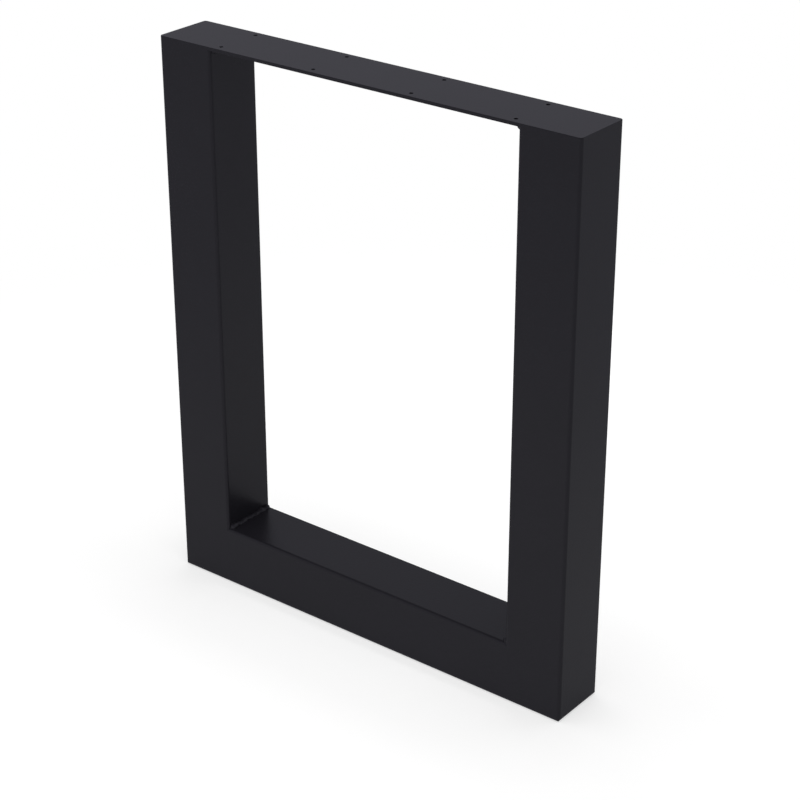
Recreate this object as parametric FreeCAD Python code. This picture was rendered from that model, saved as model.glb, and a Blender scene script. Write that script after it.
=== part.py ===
import FreeCAD, Part

import math
import os

# One end frame of a table: square steel tube, mitred and welded to a U, with a flat plate across its open top.
# X runs along the width, the front is towards -Y, Z is up, and the origin is under the middle on the floor.
# All sizes are in millimetres.

# Frame
frame_width = 600.0
frame_height = 725.0

# Square tube of the two uprights and the rail
tube_face = 80.0
tube_depth = 80.0
tube_wall = 2.0
tube_edge_radius = 4.0
smallest_inner_radius = 0.3
ground_corner_radius = 4.5

# Flat plate that the tabletop is screwed to
plate_thickness = 4.0
plate_arris_chamfer = 0.5

# Screw holes in the plate, in two rows along its long edges
hole_diameter = 5.0
holes_per_row = 4
hole_to_long_edge = 10.0
first_hole_to_upright = 10.0

# Weld beads in the four inner corners
rail_weld_leg = 4.5
rail_weld_crown = 0.8
plate_weld_leg = 4.0
plate_weld_crown = 0.7
weld_end_cover = 0.3
weld_ripple_pitch = 5.0
weld_ripple_height = 0.35

# Worked out from the sizes above
half_width = frame_width / 2.0
half_depth = tube_depth / 2.0
plate_underside = frame_height - plate_thickness
upright_centre = half_width - tube_face / 2.0
upright_inner_face = half_width - tube_face
tube_inner_radius = max(tube_edge_radius - tube_wall, smallest_inner_radius)

LEFT = -1
RIGHT = 1
UP = 1
DOWN = -1
Y_AXIS = FreeCAD.Vector(0.0, 1.0, 0.0)
Z_AXIS = FreeCAD.Vector(0.0, 0.0, 1.0)
ORIGIN = FreeCAD.Vector(0.0, 0.0, 0.0)
QUARTER_TURN = 90.0
FULL_TURN = 360.0


def rounded_rectangle(size_x, size_y, radius):
    """Closed face in the XY plane, centred on the origin, with its four corners rounded."""
    centre_x = size_x / 2.0 - radius
    centre_y = size_y / 2.0 - radius
    arcs = []
    for number, (sign_x, sign_y) in enumerate(((1, 1), (-1, 1), (-1, -1), (1, -1))):
        centre = FreeCAD.Vector(sign_x * centre_x, sign_y * centre_y, 0.0)
        start = number * QUARTER_TURN
        arcs.append(Part.makeCircle(radius, centre, Z_AXIS, start, start + QUARTER_TURN))
    edges = []
    for arc, following in zip(arcs, arcs[1:] + arcs[:1]):
        edges.append(arc)
        edges.append(Part.makeLine(arc.Vertexes[-1].Point, following.Vertexes[0].Point))
    return Part.Face(Part.Wire(edges))


def prism_across(points):
    """Prism whose outline in the XZ plane is given, running through the whole depth of the tube and past it."""
    corners = [FreeCAD.Vector(x, -tube_depth, z) for x, z in points]
    outline = Part.makePolygon(corners + corners[:1])
    return Part.Face(outline).extrude(Y_AXIS * (2.0 * tube_depth))


def ground_outline():
    """Block of the frame's outer size, with the two ground weld corners at the floor rounded."""
    block = Part.makeBox(frame_width, tube_depth, frame_height, FreeCAD.Vector(-half_width, -half_depth, 0.0))
    floor_corners = []
    for edge in block.Edges:
        direction = edge.tangentAt(edge.FirstParameter)
        along_depth = abs(direction.y) > abs(direction.x) + abs(direction.z)
        at_floor = edge.CenterOfMass.z < frame_height / 2.0
        if along_depth and at_floor:
            floor_corners.append(edge)
    return block.makeFillet(ground_corner_radius, floor_corners)


def mitre_wedge(side, keep_upright):
    """What the mitre takes off the upright below its cut, or off the rail above it."""
    outer = side * half_width
    past_outer = side * (half_width + tube_face)
    past_inner = side * (half_width - 2.0 * tube_face)
    low = (past_outer, -tube_face)
    high = (past_inner, 2.0 * tube_face)
    if keep_upright:
        third = (past_inner, -tube_face)
    else:
        third = (past_outer, 2.0 * tube_face)
    return prism_across([low, (outer, 0.0), high, third])


def upright_prism(side, size_x, size_y, radius):
    """Straight length of a rounded section, standing where an upright stands."""
    prism = rounded_rectangle(size_x, size_y, radius).extrude(Z_AXIS * plate_underside)
    prism.translate(FreeCAD.Vector(side * upright_centre, 0.0, 0.0))
    return prism


def rail_prism(size_z, size_y, radius):
    """Straight length of a rounded section, lying where the rail lies."""
    prism = rounded_rectangle(size_z, size_y, radius).extrude(Z_AXIS * frame_width)
    prism.rotate(ORIGIN, Y_AXIS, QUARTER_TURN)
    prism.translate(FreeCAD.Vector(-half_width, 0.0, tube_face / 2.0))
    return prism


def upright_block(side):
    """Outer form of one upright, mitred at its foot."""
    block = upright_prism(side, tube_face, tube_depth, tube_edge_radius)
    return block.common(ground_outline()).cut(mitre_wedge(side, True))


def rail_block():
    """Outer form of the rail, mitred at both ends."""
    block = rail_prism(tube_face, tube_depth, tube_edge_radius).common(ground_outline())
    for side in (LEFT, RIGHT):
        block = block.cut(mitre_wedge(side, False))
    return block


def upright(side):
    """One upright as hollow tube."""
    bore = upright_prism(side, tube_face - 2.0 * tube_wall, tube_depth - 2.0 * tube_wall, tube_inner_radius)
    return upright_block(side).cut(bore)


def bottom_rail():
    """The rail as hollow tube."""
    bore = rail_prism(tube_face - 2.0 * tube_wall, tube_depth - 2.0 * tube_wall, tube_inner_radius)
    return rail_block().cut(bore)


def plate_blank():
    """Flat bar of the plate before its holes, flush with the tubes all round and with its top arris broken."""
    blank = rounded_rectangle(frame_width, tube_depth, tube_edge_radius).extrude(Z_AXIS * plate_thickness)
    blank.translate(FreeCAD.Vector(0.0, 0.0, plate_underside))
    mid_height = plate_underside + plate_thickness / 2.0
    top_arris = []
    for edge in blank.Edges:
        direction = edge.tangentAt(edge.FirstParameter)
        level = abs(direction.z) < abs(direction.x) + abs(direction.y)
        if level and edge.CenterOfMass.z > mid_height:
            top_arris.append(edge)
    return blank.makeChamfer(plate_arris_chamfer, top_arris)


def top_plate():
    """Plate with its two rows of screw holes, all of them between the uprights."""
    plate = plate_blank()
    first_hole = upright_inner_face - first_hole_to_upright
    pitch = 2.0 * first_hole / (holes_per_row - 1)
    row = half_depth - hole_to_long_edge
    for row_y in (-row, row):
        for number in range(holes_per_row):
            centre = FreeCAD.Vector(-first_hole + number * pitch, row_y, plate_underside)
            plate = plate.cut(Part.makeCylinder(hole_diameter / 2.0, plate_thickness, centre, Z_AXIS))
    return plate


def edge_fall(inset):
    """How far a tube's front face has curved back, at a distance in from the face beside it."""
    past_flat = max(tube_edge_radius - inset, 0.0)
    return tube_edge_radius - math.sqrt(tube_edge_radius ** 2 - past_flat ** 2)


def weld_bead(side, corner_z, away_z, leg, crown, neighbours):
    """Rippled fillet weld with round ends, along the corner between an upright and what crosses it.

    Between ripples the face is an arc through both toes, proud of the straight line between them by the crown.
    The bead is a ribbed rod of that radius with ball ends, less the steel on either side of it. The tip of each
    ball stays just under the rounded edges of the tubes, so that the end of the bead dies away between them.
    """
    half_chord = leg / math.sqrt(2.0)
    radius = (half_chord ** 2 + crown ** 2) / (2.0 * crown)
    throat = half_chord + crown
    setback = (radius - throat) / math.sqrt(2.0)
    axis_x = side * (upright_inner_face + setback)
    axis_z = corner_z - away_z * setback
    tip = half_depth - edge_fall(setback) - weld_end_cover
    ball_centre = tip - radius
    shoulder = radius / math.sqrt(2.0)
    ripples = max(1, round(2.0 * ball_centre / weld_ripple_pitch))
    ripple_length = 2.0 * ball_centre / ripples

    def spot(out, along):
        return FreeCAD.Vector(axis_x + out, along, axis_z)

    ridges = [spot(radius, -ball_centre)]
    for number in range(ripples):
        start = -ball_centre + number * ripple_length
        ridges.append(spot(radius + weld_ripple_height, start + ripple_length / 2.0))
        ridges.append(spot(radius, start + ripple_length))
    outline = [
        Part.Arc(spot(0.0, -tip), spot(shoulder, -ball_centre - shoulder), ridges[0]).toShape(),
        *Part.makePolygon(ridges).Edges,
        Part.Arc(ridges[-1], spot(shoulder, ball_centre + shoulder), spot(0.0, tip)).toShape(),
        Part.makeLine(spot(0.0, tip), spot(0.0, -tip)),
    ]
    rod = Part.Face(Part.Wire(outline)).revolve(spot(0.0, 0.0), Y_AXIS, FULL_TURN)

    # Only the stretch about the corner is kept, far enough into the steel to fill its rounded edges
    inset = min(tube_edge_radius, plate_thickness / 2.0)
    steel_x = side * (upright_inner_face + inset)
    open_x = side * (upright_inner_face - 2.0 * leg)
    steel_z = corner_z - away_z * inset
    open_z = corner_z + away_z * 2.0 * leg
    bead = rod.common(prism_across([(steel_x, steel_z), (open_x, steel_z), (open_x, open_z), (steel_x, open_z)]))
    for neighbour in neighbours:
        bead = bead.cut(neighbour)
    return bead


def build_nodes():
    """Every piece of the frame by the name of its file."""
    left_block = upright_block(LEFT)
    right_block = upright_block(RIGHT)
    low_block = rail_block()
    flat_bar = plate_blank()
    rail_weld = (tube_face, UP, rail_weld_leg, rail_weld_crown)
    plate_weld = (plate_underside, DOWN, plate_weld_leg, plate_weld_crown)
    return {
        "left_upright": upright(LEFT),
        "right_upright": upright(RIGHT),
        "bottom_rail": bottom_rail(),
        "top_plate": top_plate(),
        "weld_bottom_left": weld_bead(LEFT, *rail_weld, [left_block, low_block]),
        "weld_bottom_right": weld_bead(RIGHT, *rail_weld, [right_block, low_block]),
        "weld_top_left": weld_bead(LEFT, *plate_weld, [left_block, flat_bar]),
        "weld_top_right": weld_bead(RIGHT, *plate_weld, [right_block, flat_bar]),
    }


os.makedirs("parts", exist_ok=True)
for name, shape in build_nodes().items():
    shape.exportStep("parts/" + name + ".step")
    box = shape.BoundBox
    print(name, "solids", len(shape.Solids), "valid", shape.isValid(), "volume", round(shape.Volume, 1),
          "x", round(box.XMin, 2), round(box.XMax, 2), "y", round(box.YMin, 2), round(box.YMax, 2),
          "z", round(box.ZMin, 2), round(box.ZMax, 2))
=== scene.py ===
import math

import bmesh
import bpy
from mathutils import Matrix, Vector


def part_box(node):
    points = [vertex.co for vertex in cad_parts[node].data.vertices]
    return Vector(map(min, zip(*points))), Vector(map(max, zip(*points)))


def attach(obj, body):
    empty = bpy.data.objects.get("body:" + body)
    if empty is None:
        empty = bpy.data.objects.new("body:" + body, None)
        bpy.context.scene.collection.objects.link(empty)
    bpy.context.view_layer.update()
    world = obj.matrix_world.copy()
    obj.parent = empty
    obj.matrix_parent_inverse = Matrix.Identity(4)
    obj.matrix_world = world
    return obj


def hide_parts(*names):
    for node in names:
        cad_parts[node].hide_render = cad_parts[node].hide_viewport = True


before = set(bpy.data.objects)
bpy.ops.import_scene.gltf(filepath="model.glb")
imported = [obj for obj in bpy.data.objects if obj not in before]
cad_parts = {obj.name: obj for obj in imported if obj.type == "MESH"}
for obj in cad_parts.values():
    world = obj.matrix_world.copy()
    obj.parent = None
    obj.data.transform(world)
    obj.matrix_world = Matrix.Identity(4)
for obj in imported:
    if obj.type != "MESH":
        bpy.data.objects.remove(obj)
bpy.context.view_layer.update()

bl_info = {
    "name": "Welded U Table Leg",
    "version": (1, 0, 0),
    "blender": (4, 5, 0),
    "location": "View3D > Sidebar > Table Leg",
    "description": "Finishes a square-tube table leg: powder coat, rippled weld beads and a studio stage",
    "category": "Object",
}

MM = 0.001
MATH = "ShaderNodeMath"
BODY = "root"

TUBE_NODES = ("left_upright", "right_upright", "bottom_rail")
PLATE_NODE = "top_plate"

# Powder coat: how much of its texture shows on each kind of steel, its sizes, and its resin
TEXTURE_SHARE = {"tube": 0.5, "plate": 0.35, "weld": 0.4}
FILM_WAVE = 90.0 * MM
PEEL_HEIGHT = 0.2 * MM
GRIT_HEIGHT = 0.06 * MM
SMOOTHEST_GRAIN = 0.56
ROUGHEST_GRAIN = 0.7
RESIN_IOR = 1.5

# Most of a noise texture's values lie between these
NOISE_LOW = 0.3
NOISE_HIGH = 0.7

# Rod that a weld bead is shaped from
ROD_SIDES = 48
ROD_RINGS = 240
MERGE_DISTANCE = 0.01 * MM

# Ends of a bead: the start's rounding and lump in legs, and the tip as a share of the full section
START_ROUND_LEGS = 0.8
LUMP_LEGS = 4.0
TIP_SHARE = 0.02

# Skin of a bead: ripples that a toe lags by, a swell's length, and where each wall reads the same noise
TOE_LAG = 0.55
SWELL_LENGTH = 9.0 * MM
WALL_WANDER = {"X": 0.0, "Z": 5.0}
SUNK_IN_WALL = 1.2 * MM

# Studio: the ceiling is given by the height of a direction of length one, and the floor in metres
WHITE = "#ffffff"
COOL_WHITE = "#f2f2ff"
FLOOR_PALE = "#f9f9f9"
FLOOR_BOUNCE = "#cbcbcb"
CEILING_STARTS = 0.62
CEILING_WHOLE = 0.82
CEILING_DARKNESS = 0.85
FLOOR_HALF = 12.0
SHADOW_WHOLE_TO = 0.5
SHADOW_GONE_AT = 1.3
FLOOR_GLOW = 0.43
SENSOR_WIDTH = 36.0
LAMP_AIM = (0.0, 0.0, 0.36)

# Each softbox has a name, a place, a width in metres and a power in watts
LAMPS = (
    ("softbox_front", (0.12, -1.3, 0.1), 0.4, 7.7),
    ("softbox_back", (-0.12, 1.3, 0.1), 0.4, 7.7),
    ("softbox_top", (0.0, 0.0, 4.0), 1.8, 90.0),
)


def linear(hex_colour):
    """Linear RGBA of an sRGB colour written as a hex string."""
    channels = [int(hex_colour[i:i + 2], 16) / 255.0 for i in (1, 3, 5)]
    return tuple(c / 12.92 if c <= 0.04045 else ((c + 0.055) / 1.055) ** 2.4 for c in channels) + (1.0,)


def add_node(tree, kind, settings=None, inputs=None):
    """Adds a node to a tree. An input is a value, an output socket, or a node whose first output is meant."""
    node = tree.nodes.new(kind)
    for name, value in (settings or {}).items():
        setattr(node, name, value)
    for key, value in (inputs or {}).items():
        if isinstance(value, bpy.types.Node):
            value = value.outputs[0]
        if isinstance(value, bpy.types.NodeSocket):
            tree.links.new(value, node.inputs[key])
        else:
            node.inputs[key].default_value = value
    return node


class TableLegCoat(bpy.types.PropertyGroup):
    """Powder coat of the whole frame."""

    colour: bpy.props.FloatVectorProperty(
        name="Coat colour", description="Colour of the powder coat", subtype="COLOR", size=4,
        min=0.0, max=1.0, default=linear("#1b1a1e"))
    thin_colour: bpy.props.FloatVectorProperty(
        name="Thin coat colour", description="Colour where the film is a little thinner", subtype="COLOR",
        size=4, min=0.0, max=1.0, default=linear("#1e1d22"))
    shine: bpy.props.FloatProperty(
        name="Resin shine", description="How much of the surface is smooth resin", subtype="FACTOR",
        min=0.0, max=1.0, default=0.276)
    blur: bpy.props.FloatProperty(
        name="Resin roughness", description="How blurred the resin's reflections are", subtype="FACTOR",
        min=0.0, max=1.0, default=0.3)
    peel: bpy.props.FloatProperty(
        name="Orange peel", description="Width of one wave of the coat's orange peel", unit="LENGTH",
        min=0.0005, default=2.5 * MM)
    grit: bpy.props.FloatProperty(
        name="Grit", description="Width of one grain of the matting powder as drawn", unit="LENGTH",
        min=0.0002, default=0.7 * MM)


class TableLegWelds(bpy.types.PropertyGroup):
    """Weld beads in the inner corners."""

    rail_leg: bpy.props.FloatProperty(
        name="Leg at the rail", description="Width of the two beads on the rail along either face",
        unit="LENGTH", min=0.001, default=5.6 * MM)
    plate_leg: bpy.props.FloatProperty(
        name="Leg at the plate", description="Width of the two beads under the plate along either face",
        unit="LENGTH", min=0.001, default=5.2 * MM)
    pitch: bpy.props.FloatProperty(
        name="Ripple pitch", description="Distance from one ripple to the next", unit="LENGTH",
        min=0.0005, default=2.6 * MM)
    ripple: bpy.props.FloatProperty(
        name="Ripple height", description="Height of a ripple over the valley beside it", unit="LENGTH",
        min=0.0, default=0.3 * MM)
    tube_edge: bpy.props.FloatProperty(
        name="Tube edge radius", description="Radius of the tubes' long edges, into which a bead's ends fall",
        unit="LENGTH", min=0.0, default=4.0 * MM)
    uneven: bpy.props.FloatProperty(
        name="Unevenness", description="How far a bead swells and narrows, as a share of its leg",
        subtype="FACTOR", min=0.0, max=0.5, default=0.27)


class TableLegStage(bpy.types.PropertyGroup):
    """Camera, floor and lights."""

    azimuth: bpy.props.FloatProperty(
        name="Camera azimuth", description="Turn of the camera round the frame, from its front to its right",
        subtype="ANGLE", default=math.radians(38.06))
    elevation: bpy.props.FloatProperty(
        name="Camera elevation", description="Height of the camera over the frame as an angle",
        subtype="ANGLE", default=math.radians(26.23))
    distance: bpy.props.FloatProperty(
        name="Camera distance", description="From the camera to the point it looks at", unit="LENGTH",
        min=0.1, default=2.532)
    aim: bpy.props.FloatVectorProperty(
        name="Camera aim", description="Point that the camera looks at", subtype="TRANSLATION", unit="LENGTH",
        default=(0.031, 0.0, 0.328))
    lens: bpy.props.FloatProperty(
        name="Lens", description="Focal length in millimetres on a sensor 36 mm wide", unit="CAMERA",
        min=10.0, default=95.35)
    floor_shadow: bpy.props.FloatProperty(
        name="Floor shadow", description="How much of the floor's own shading shows in the white",
        subtype="FACTOR", min=0.0, max=1.0, default=0.5)
    room_light: bpy.props.FloatProperty(
        name="Room light", description="Strength of the even light from all round", min=0.0, default=0.33)


def coat_material(steel):
    """Satin black polyester powder coat, sprayed on tube, plate or weld and baked.

    The powder flows out to a soft orange peel with a fine matting grit on it, so the eye sees a dense
    black that is nearly matt face on and takes a weak, blurred reflection at a low angle.
    """
    coat = bpy.context.scene.table_leg_coat
    texture_share = TEXTURE_SHARE[steel]
    material = bpy.data.materials.new("satin_black_powder_coat_on_" + steel)
    material.use_nodes = True
    tree = material.node_tree
    tree.nodes.clear()
    place = add_node(tree, "ShaderNodeTexCoord").outputs["Object"]

    # The film's thickness drifts over about a hand's width
    film = add_node(tree, "ShaderNodeTexNoise", {}, {
        "Vector": place, "Scale": 1.0 / FILM_WAVE, "Detail": 3.0, "Roughness": 0.5})
    film_colour = add_node(tree, "ShaderNodeMix", {"data_type": "RGBA"}, {"Factor": film.outputs["Fac"]})
    film_colour.inputs["A"].default_value = coat.colour
    film_colour.inputs["B"].default_value = coat.thin_colour

    # The orange peel has its real width. Real grit is about a tenth of a millimetre, too fine to show, so it
    # is drawn coarser.
    peel = add_node(tree, "ShaderNodeTexNoise", {}, {
        "Vector": place, "Scale": 1.0 / coat.peel, "Detail": 2.0, "Roughness": 0.45})
    grit = add_node(tree, "ShaderNodeTexNoise", {}, {
        "Vector": place, "Scale": 1.0 / coat.grit, "Detail": 2.0, "Roughness": 0.6})
    rough = add_node(tree, "ShaderNodeMapRange", {}, {
        "Value": grit.outputs["Fac"], "From Min": NOISE_LOW, "From Max": NOISE_HIGH,
        "To Min": SMOOTHEST_GRAIN, "To Max": ROUGHEST_GRAIN})
    peel_bump = add_node(tree, "ShaderNodeBump", {}, {
        "Height": peel.outputs["Fac"], "Strength": texture_share, "Distance": PEEL_HEIGHT})
    grit_bump = add_node(tree, "ShaderNodeBump", {}, {
        "Height": grit.outputs["Fac"], "Normal": peel_bump, "Strength": texture_share,
        "Distance": GRIT_HEIGHT})
    surface = add_node(tree, "ShaderNodeBsdfPrincipled", {}, {
        "Base Color": film_colour.outputs["Result"],
        "Roughness": rough.outputs["Result"],
        "IOR": RESIN_IOR,
        "Specular IOR Level": 0.0,
        "Normal": grit_bump,
        "Coat Weight": coat.shine,
        "Coat Roughness": coat.blur,
        "Coat IOR": RESIN_IOR,
        "Coat Normal": peel_bump,
    })
    add_node(tree, "ShaderNodeOutputMaterial", {}, {"Surface": surface})
    return material


def dress(node_names, material):
    """Gives CAD nodes a material by their object's slots."""
    for node_name in node_names:
        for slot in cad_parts[node_name].material_slots:
            slot.material = material


class TABLELEG_OT_coat_tubes(bpy.types.Operator):
    """Powder coats the two uprights and the rail"""

    bl_idname = "table_leg.coat_tubes"
    bl_label = "Coat Tubes"

    def execute(self, context):
        dress(TUBE_NODES, coat_material("tube"))
        return {"FINISHED"}


class TABLELEG_OT_coat_plate(bpy.types.Operator):
    """Powder coats the flat plate and its screw holes"""

    bl_idname = "table_leg.coat_plate"
    bl_label = "Coat Plate"

    def execute(self, context):
        dress((PLATE_NODE,), coat_material("plate"))
        return {"FINISHED"}


def bead_tree():
    """Geometry nodes that turn a rod along +Z into a weld bead in the corner between two walls.

    The rod's own X and Y become the two directions away from the corner. Its section swells and narrows with
    a smooth noise, each ripple is a rounded step that lags behind at the toes, and the part past either wall
    is flattened to just under that wall.
    """
    tree = bpy.data.node_groups.new("weld_bead", "GeometryNodeTree")
    tree.is_modifier = True
    sockets = (
        ("Leg", "NodeSocketFloat"), ("Length", "NodeSocketFloat"), ("Pitch", "NodeSocketFloat"),
        ("Ripple", "NodeSocketFloat"), ("Uneven", "NodeSocketFloat"), ("Embed", "NodeSocketFloat"),
        ("Seed", "NodeSocketFloat"), ("Start", "NodeSocketVector"), ("Away X", "NodeSocketFloat"),
        ("Away Z", "NodeSocketFloat"), ("Edge X", "NodeSocketFloat"), ("Edge Z", "NodeSocketFloat"),
        ("Half Depth", "NodeSocketFloat"), ("Material", "NodeSocketMaterial"),
    )
    for name, kind in sockets:
        tree.interface.new_socket(name=name, in_out="INPUT", socket_type=kind)
    tree.interface.new_socket(name="Geometry", in_out="OUTPUT", socket_type="NodeSocketGeometry")
    given = add_node(tree, "NodeGroupInput").outputs

    # A rod one long and one in radius, centred on the origin
    rod = add_node(tree, "GeometryNodeMeshCylinder", {"fill_type": "TRIANGLE_FAN"}, {
        "Vertices": ROD_SIDES, "Side Segments": ROD_RINGS, "Radius": 1.0, "Depth": 1.0})
    position = add_node(tree, "GeometryNodeInputPosition")
    where = add_node(tree, "ShaderNodeSeparateXYZ", {}, {"Vector": position}).outputs
    run_share = add_node(tree, MATH, {"operation": "ADD"}, {0: where["Z"], 1: 0.5})
    distance = add_node(tree, MATH, {"operation": "MULTIPLY"}, {0: run_share, 1: given["Length"]})

    # Round ends: the section follows a quarter circle over the last leg's length, and over a little less
    # where the bead starts, because the welder starts with a lump of the full leg
    legs_in = add_node(tree, MATH, {"operation": "DIVIDE"}, {0: distance, 1: given["Leg"]})
    run_left = add_node(tree, MATH, {"operation": "SUBTRACT"}, {0: given["Length"], 1: distance})
    legs_left = add_node(tree, MATH, {"operation": "DIVIDE"}, {0: run_left, 1: given["Leg"]})
    from_start = add_node(tree, MATH, {"operation": "DIVIDE"}, {0: legs_in, 1: START_ROUND_LEGS})
    nearest_end = add_node(tree, MATH, {"operation": "MINIMUM"}, {0: from_start, 1: legs_left})
    along_round = add_node(tree, MATH, {"operation": "MINIMUM"}, {0: nearest_end, 1: 1.0})
    to_full = add_node(tree, MATH, {"operation": "SUBTRACT"}, {0: 1.0, 1: along_round})
    to_full_square = add_node(tree, MATH, {"operation": "MULTIPLY"}, {0: to_full, 1: to_full})
    taper_square = add_node(tree, MATH, {"operation": "SUBTRACT"}, {0: 1.0, 1: to_full_square})
    above_tip = add_node(tree, MATH, {"operation": "MAXIMUM"}, {0: taper_square, 1: TIP_SHARE ** 2})
    taper = add_node(tree, MATH, {"operation": "SQRT"}, {0: above_tip})
    lump = add_node(tree, "ShaderNodeMapRange", {"interpolation_type": "SMOOTHSTEP"}, {
        "Value": legs_in, "From Min": START_ROUND_LEGS, "From Max": LUMP_LEGS, "To Min": 1.0, "To Max": 0.0})

    # Ripples lag at the toes, so each one is a crescent
    off_middle = add_node(tree, MATH, {"operation": "SUBTRACT"}, {0: where["X"], 1: where["Y"]})
    toe_share = add_node(tree, MATH, {"operation": "ABSOLUTE"}, {0: off_middle})
    lag = add_node(tree, MATH, {"operation": "MULTIPLY"}, {0: toe_share, 1: TOE_LAG})
    ripples_in = add_node(tree, MATH, {"operation": "DIVIDE"}, {0: distance, 1: given["Pitch"]})
    lagged = add_node(tree, MATH, {"operation": "ADD"}, {0: ripples_in, 1: lag})
    phase = add_node(tree, MATH, {"operation": "MULTIPLY"}, {0: lagged, 1: math.pi})
    wave = add_node(tree, MATH, {"operation": "SINE"}, {0: phase})
    humps = add_node(tree, MATH, {"operation": "ABSOLUTE"}, {0: wave})
    bump = add_node(tree, MATH, {"operation": "MULTIPLY"}, {0: humps, 1: given["Ripple"]})

    # How narrow it gets between swells, how far it sinks into a wall, and how far this is from the mid depth
    narrowing = add_node(tree, MATH, {"operation": "MULTIPLY"}, {0: given["Uneven"], 1: 2.0})
    narrowest = add_node(tree, MATH, {"operation": "SUBTRACT"}, {0: 1.0, 1: narrowing})
    sunk = add_node(tree, MATH, {"operation": "MULTIPLY"}, {0: given["Embed"], 1: -1.0})
    start = add_node(tree, "ShaderNodeSeparateXYZ", {}, {"Vector": given["Start"]}).outputs
    across = add_node(tree, MATH, {"operation": "ADD"}, {0: start["Y"], 1: distance})
    depth = add_node(tree, MATH, {"operation": "ABSOLUTE"}, {0: across})

    out = {}
    for rod_axis, wall in (("X", "X"), ("Y", "Z")):
        # The skin's distance from the corner along this wall wanders with the welder's hand
        track = add_node(tree, MATH, {"operation": "ADD"}, {0: given["Seed"], 1: WALL_WANDER[wall]})
        spot = add_node(tree, "ShaderNodeCombineXYZ", {}, {"X": distance, "Y": track})
        swell = add_node(tree, "ShaderNodeTexNoise", {"noise_dimensions": "3D"}, {
            "Vector": spot, "Scale": 1.0 / SWELL_LENGTH, "Detail": 1.0, "Roughness": 0.5})
        spread = add_node(tree, "ShaderNodeMapRange", {"clamp": True}, {
            "Value": swell.outputs["Fac"], "From Min": NOISE_LOW, "From Max": NOISE_HIGH,
            "To Min": narrowest, "To Max": 1.0})
        fullness = add_node(tree, MATH, {"operation": "MAXIMUM"}, {
            0: spread.outputs["Result"], 1: lump.outputs["Result"]})
        body = add_node(tree, MATH, {"operation": "MULTIPLY"}, {0: given["Leg"], 1: fullness})
        rippled = add_node(tree, MATH, {"operation": "ADD"}, {0: body, 1: bump})
        length = add_node(tree, MATH, {"operation": "MULTIPLY"}, {0: rippled, 1: taper})
        skin = add_node(tree, MATH, {"operation": "MULTIPLY"}, {0: where[rod_axis], 1: length})
        reach = add_node(tree, MATH, {"operation": "MAXIMUM"}, {0: skin, 1: sunk})

        # Past the flat of this wall the bead follows the rounded edge down
        edge = given["Edge " + wall]
        to_edge = add_node(tree, MATH, {"operation": "ADD"}, {0: depth, 1: edge})
        past_flat = add_node(tree, MATH, {"operation": "SUBTRACT"}, {0: to_edge, 1: given["Half Depth"]})
        inset = add_node(tree, MATH, {"operation": "MAXIMUM"}, {0: past_flat, 1: 0.0})
        edge_square = add_node(tree, MATH, {"operation": "MULTIPLY"}, {0: edge, 1: edge})
        inset_square = add_node(tree, MATH, {"operation": "MULTIPLY"}, {0: inset, 1: inset})
        rise_square = add_node(tree, MATH, {"operation": "SUBTRACT"}, {0: edge_square, 1: inset_square})
        rise_or_none = add_node(tree, MATH, {"operation": "MAXIMUM"}, {0: rise_square, 1: 0.0})
        rise = add_node(tree, MATH, {"operation": "SQRT"}, {0: rise_or_none})
        fall = add_node(tree, MATH, {"operation": "SUBTRACT"}, {0: edge, 1: rise})
        proud = add_node(tree, MATH, {"operation": "SUBTRACT"}, {0: reach, 1: fall})
        out[wall] = add_node(tree, MATH, {"operation": "MULTIPLY"}, {0: proud, 1: given["Away " + wall]})

    offset = add_node(tree, "ShaderNodeCombineXYZ", {}, {"X": out["X"], "Y": distance, "Z": out["Z"]})
    target = add_node(tree, "ShaderNodeVectorMath", {"operation": "ADD"}, {0: given["Start"], 1: offset})
    shaped = add_node(tree, "GeometryNodeSetPosition", {}, {
        "Geometry": rod.outputs["Mesh"], "Position": target.outputs["Vector"]})
    merged = add_node(tree, "GeometryNodeMergeByDistance", {}, {
        "Geometry": shaped, "Distance": MERGE_DISTANCE})
    smooth = add_node(tree, "GeometryNodeSetShadeSmooth", {}, {"Geometry": merged, "Shade Smooth": True})
    real = add_node(tree, "GeometryNodeRealizeInstances", {}, {"Geometry": smooth})
    coated = add_node(tree, "GeometryNodeSetMaterial", {}, {"Geometry": real, "Material": given["Material"]})
    add_node(tree, "NodeGroupOutput", {}, {"Geometry": coated})
    return tree


def plain_mesh(name, tree, values):
    """Object with the evaluated result of a geometry node tree as its own plain mesh."""
    holder = bpy.data.objects.new(name, bpy.data.meshes.new(name + "_seed"))
    bpy.context.scene.collection.objects.link(holder)
    modifier = holder.modifiers.new("build", "NODES")
    modifier.node_group = tree
    for item in tree.interface.items_tree:
        if item.in_out == "INPUT" and item.name in values:
            modifier[item.identifier] = values[item.name]
    graph = bpy.context.evaluated_depsgraph_get()
    mesh = bpy.data.meshes.new_from_object(holder.evaluated_get(graph))
    mesh.name = name
    holder.modifiers.clear()
    holder.data = mesh
    cleaner = bmesh.new()
    cleaner.from_mesh(mesh)
    bmesh.ops.recalc_face_normals(cleaner, faces=cleaner.faces)
    cleaner.to_mesh(mesh)
    cleaner.free()
    return holder


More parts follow.
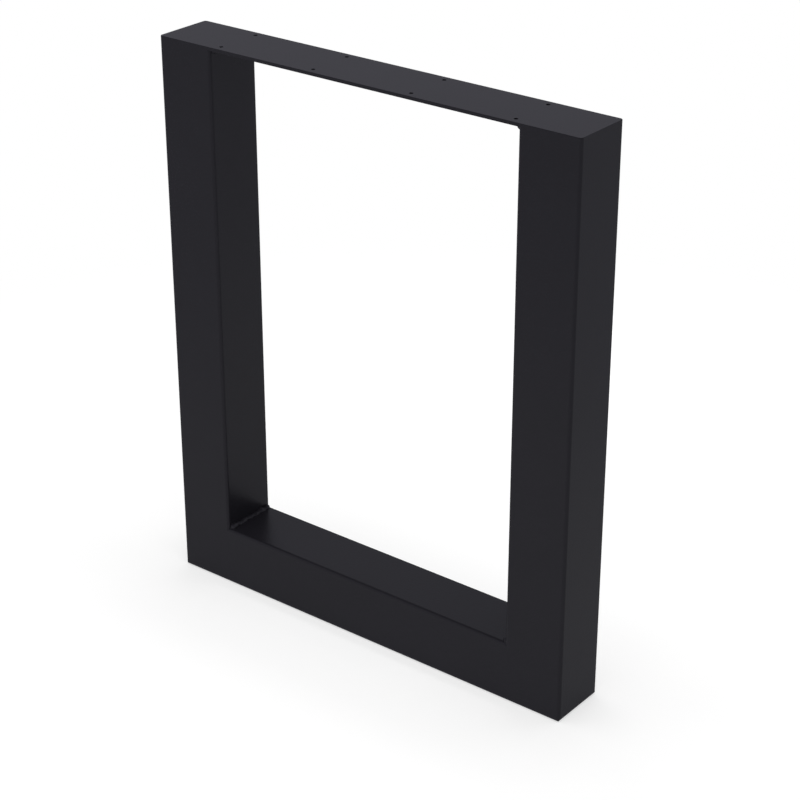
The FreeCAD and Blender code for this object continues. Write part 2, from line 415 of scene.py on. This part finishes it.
class TABLELEG_OT_lay_welds(bpy.types.Operator):
    """Lays a rippled bead in each of the four inner corners"""

    bl_idname = "table_leg.lay_welds"
    bl_label = "Lay Weld Beads"

    def execute(self, context):
        welds = context.scene.table_leg_welds
        material = coat_material("weld")
        tree = bead_tree()
        edge = welds.tube_edge
        half_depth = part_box("bottom_rail")[1].y

        # Upright walls: their place and the way out of them
        left = (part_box("left_upright")[1].x, 1.0)
        right = (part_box("right_upright")[0].x, -1.0)

        # Level walls: the same, with the radius of their front edge and the leg of a bead on them
        rail = (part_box("bottom_rail")[1].z, 1.0, edge, welds.rail_leg)
        plate = (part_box(PLATE_NODE)[0].z, -1.0, 0.0, welds.plate_leg)

        # Each bead starts a little way in from the front, and wanders by a seed of its own
        corners = (
            ("bottom_left", left, rail, 2.2 * MM, 0.11),
            ("bottom_right", right, rail, 0.5 * MM, 0.37),
            ("top_left", left, plate, 2.0 * MM, 0.53),
            ("top_right", right, plate, 1.0 * MM, 0.79),
        )
        for name, (wall_x, away_x), (wall_z, away_z, edge_z, leg), start_in, seed in corners:
            low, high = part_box("weld_" + name)
            start = (wall_x, low.y + start_in, wall_z)
            bead = plain_mesh("bead_" + name, tree, {
                "Leg": leg, "Length": high.y - low.y - start_in, "Pitch": welds.pitch, "Ripple": welds.ripple,
                "Uneven": welds.uneven, "Embed": SUNK_IN_WALL, "Seed": seed, "Start": start,
                "Away X": away_x, "Away Z": away_z, "Edge X": edge, "Edge Z": edge_z,
                "Half Depth": half_depth, "Material": material})
            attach(bead, BODY)
            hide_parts("weld_" + name)
        return {"FINISHED"}


def camera_side(stage):
    """Unit vector from the aim point towards the camera."""
    level = math.cos(stage.elevation)
    return Vector((
        math.sin(stage.azimuth) * level,
        -math.cos(stage.azimuth) * level,
        math.sin(stage.elevation),
    ))


def white_for_eye(tree):
    """Factor that is 1 for what the camera, a mirror or glass shows, and 0 for light that is scattered on."""
    path = add_node(tree, "ShaderNodeLightPath").outputs
    seen = add_node(tree, MATH, {"operation": "MAXIMUM"}, {
        0: path["Is Camera Ray"], 1: path["Is Glossy Ray"]})
    return add_node(tree, MATH, {"operation": "MAXIMUM"}, {0: seen, 1: path["Is Transmission Ray"]})


def backdrop_white(tree):
    """Pure white to the eye, and the slightly cool white of studio lamps where the coat mirrors it."""
    glossy = add_node(tree, "ShaderNodeLightPath").outputs["Is Glossy Ray"]
    shade = add_node(tree, "ShaderNodeMix", {"data_type": "RGBA"}, {"Factor": glossy})
    shade.inputs["A"].default_value = linear(WHITE)
    shade.inputs["B"].default_value = linear(COOL_WHITE)
    return shade.outputs["Result"]


def softbox(name, place, width, power):
    """Square area lamp that faces the middle of the frame."""
    lamp = bpy.data.lights.new(name, "AREA")
    lamp.shape = "SQUARE"
    lamp.size = width
    lamp.energy = power
    holder = bpy.data.objects.new(name, lamp)
    holder.location = place
    holder.rotation_euler = (Vector(LAMP_AIM) - Vector(place)).to_track_quat("-Z", "Y").to_euler()
    holder.visible_glossy = False
    bpy.context.scene.collection.objects.link(holder)


class TABLELEG_OT_set_stage(bpy.types.Operator):
    """Sets the floor, the studio light and the camera"""

    bl_idname = "table_leg.set_stage"
    bl_label = "Set Stage"

    def execute(self, context):
        scene = context.scene
        stage = scene.table_leg_stage
        self.make_world(scene, stage)
        self.make_floor(stage)
        for lamp in LAMPS:
            softbox(*lamp)
        self.make_camera(scene, stage)
        scene.view_settings.view_transform = "Standard"
        return {"FINISHED"}

    def make_world(self, scene, stage):
        """Even light from all round, which is plain white where the eye meets it."""
        world = bpy.data.worlds.new("pale_studio")
        world.use_nodes = True
        tree = world.node_tree
        tree.nodes.clear()
        light = add_node(tree, "ShaderNodeBackground", {}, {
            "Color": linear(WHITE), "Strength": stage.room_light})

        # In the coat the white backdrop ends where the unlit ceiling begins
        place = add_node(tree, "ShaderNodeTexCoord").outputs
        towards = add_node(tree, "ShaderNodeSeparateXYZ", {}, {"Vector": place["Generated"]}).outputs
        ceiling = add_node(tree, "ShaderNodeMapRange", {"interpolation_type": "SMOOTHSTEP"}, {
            "Value": towards["Z"], "From Min": CEILING_STARTS, "From Max": CEILING_WHOLE,
            "To Min": 0.0, "To Max": CEILING_DARKNESS})
        glossy = add_node(tree, "ShaderNodeLightPath").outputs["Is Glossy Ray"]
        dim = add_node(tree, MATH, {"operation": "MULTIPLY"}, {0: ceiling.outputs["Result"], 1: glossy})
        level = add_node(tree, MATH, {"operation": "SUBTRACT"}, {0: 1.0, 1: dim})
        white = add_node(tree, "ShaderNodeBackground", {}, {"Color": backdrop_white(tree), "Strength": level})
        mix = add_node(tree, "ShaderNodeMixShader", {}, {0: white_for_eye(tree), 1: light, 2: white})
        add_node(tree, "ShaderNodeOutputWorld", {}, {"Surface": mix})
        scene.world = world

    def make_floor(self, stage):
        """Matt white floor that keeps a faint shadow under the frame."""
        material = bpy.data.materials.new("matt_white_floor")
        material.use_nodes = True
        tree = material.node_tree
        tree.nodes.clear()
        matt = add_node(tree, "ShaderNodeBsdfDiffuse", {}, {"Color": linear(FLOOR_PALE)})
        bounce = add_node(tree, "ShaderNodeBsdfDiffuse", {}, {"Color": linear(FLOOR_BOUNCE)})

        # The floor runs out into plain white before its light falls off
        place = add_node(tree, "ShaderNodeTexCoord").outputs
        reach = add_node(tree, "ShaderNodeVectorMath", {"operation": "LENGTH"}, {0: place["Object"]})
        near = add_node(tree, "ShaderNodeMapRange", {"interpolation_type": "SMOOTHSTEP"}, {
            "Value": reach.outputs["Value"], "From Min": SHADOW_WHOLE_TO, "From Max": SHADOW_GONE_AT,
            "To Min": stage.floor_shadow, "To Max": 0.0})

        # Where its shading shows, a little glow makes up for what the lamps leave it short of white
        glow = add_node(tree, MATH, {"operation": "MULTIPLY_ADD"}, {
            0: near.outputs["Result"], 1: FLOOR_GLOW, 2: 1.0})
        white = add_node(tree, "ShaderNodeEmission", {}, {"Color": backdrop_white(tree), "Strength": glow})
        shown = add_node(tree, "ShaderNodeMixShader", {}, {0: near.outputs["Result"], 1: white, 2: matt})
        mix = add_node(tree, "ShaderNodeMixShader", {}, {0: white_for_eye(tree), 1: bounce, 2: shown})
        add_node(tree, "ShaderNodeOutputMaterial", {}, {"Surface": mix})
        mesh = bpy.data.meshes.new("floor")
        signs = ((-1, -1), (1, -1), (1, 1), (-1, 1))
        mesh.from_pydata([(x * FLOOR_HALF, y * FLOOR_HALF, 0.0) for x, y in signs], [], [(0, 1, 2, 3)])
        mesh.materials.append(material)
        floor = bpy.data.objects.new("floor", mesh)
        bpy.context.scene.collection.objects.link(floor)

    def make_camera(self, scene, stage):
        """Camera at the photograph's viewing angle."""
        lens = bpy.data.cameras.new("camera")
        lens.lens = stage.lens
        lens.sensor_width = SENSOR_WIDTH
        camera = bpy.data.objects.new("camera", lens)
        side = camera_side(stage)
        camera.location = Vector(stage.aim) + side * stage.distance
        camera.rotation_euler = (-side).to_track_quat("-Z", "Y").to_euler()
        scene.collection.objects.link(camera)
        scene.camera = camera


class TABLELEG_PT_panel(bpy.types.Panel):
    """Sizes, colours and steps of the table leg"""

    bl_idname = "TABLELEG_PT_panel"
    bl_label = "Table Leg"
    bl_space_type = "VIEW_3D"
    bl_region_type = "UI"
    bl_category = "Table Leg"

    def draw(self, context):
        for group_name, group_class in GROUPS.items():
            box = self.layout.box()
            for name in group_class.__annotations__:
                box.prop(getattr(context.scene, group_name), name)
        for operator in OPERATORS:
            self.layout.operator(operator.bl_idname)


GROUPS = {
    "table_leg_coat": TableLegCoat,
    "table_leg_welds": TableLegWelds,
    "table_leg_stage": TableLegStage,
}
OPERATORS = (TABLELEG_OT_coat_tubes, TABLELEG_OT_coat_plate, TABLELEG_OT_lay_welds, TABLELEG_OT_set_stage)
CLASSES = tuple(GROUPS.values()) + OPERATORS + (TABLELEG_PT_panel,)


def register():
    """Registers the classes and hangs each property group on the scene."""
    for cls in CLASSES:
        bpy.utils.register_class(cls)
    for name, group in GROUPS.items():
        setattr(bpy.types.Scene, name, bpy.props.PointerProperty(type=group))


def unregister():
    """Takes everything that register added away again."""
    for name in GROUPS:
        delattr(bpy.types.Scene, name)
    for cls in reversed(CLASSES):
        bpy.utils.unregister_class(cls)


def main():
    """Builds the finished leg on its stage."""
    register()
    bpy.ops.table_leg.coat_tubes()
    bpy.ops.table_leg.coat_plate()
    bpy.ops.table_leg.lay_welds()
    bpy.ops.table_leg.set_stage()


if __name__ == "__main__":
    main()
